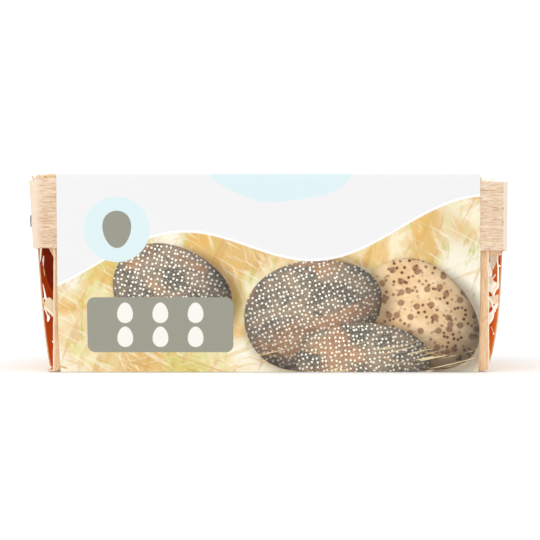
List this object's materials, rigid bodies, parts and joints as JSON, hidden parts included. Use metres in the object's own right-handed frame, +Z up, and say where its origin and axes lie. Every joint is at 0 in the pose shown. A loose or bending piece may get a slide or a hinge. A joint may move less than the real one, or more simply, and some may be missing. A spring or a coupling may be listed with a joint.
{
  "type": "egg punnet with sleeve",
  "caption": "Tapered wood veneer punnet for eggs, packed with wood wool, with a double rim band and a printed paperboard sleeve round its middle",
  "frame": {"origin": "under the middle of the whole, on the surface it rests on", "axes": "+X along the punnet's length to the right of the shown side, +Y from the shown side to the back, +Z up"},
  "size_m": [0.1924, 0.1162, 0.0787],
  "materials": {
    "sleeve_board": "smooth printed board, slight sheen",
    "band_wood": "raw veneer, matt",
    "wall_wood": "raw veneer, matt",
    "staple_wire": "dull wire",
    "wood_wool": "fine raw shavings, matt"
  },
  "bodies": {
    "root": {"sleeve": "sleeve_board", "outer_band": "band_wood", "liner_band": "wall_wood", "long_wrap": "wall_wood", "cross_wrap": "wall_wood", "staple_left_front": "staple_wire", "staple_left_back": "staple_wire", "staple_right_front": "staple_wire", "staple_right_back": "staple_wire", "nest": "wood_wool"}
  },
  "joints": []
}
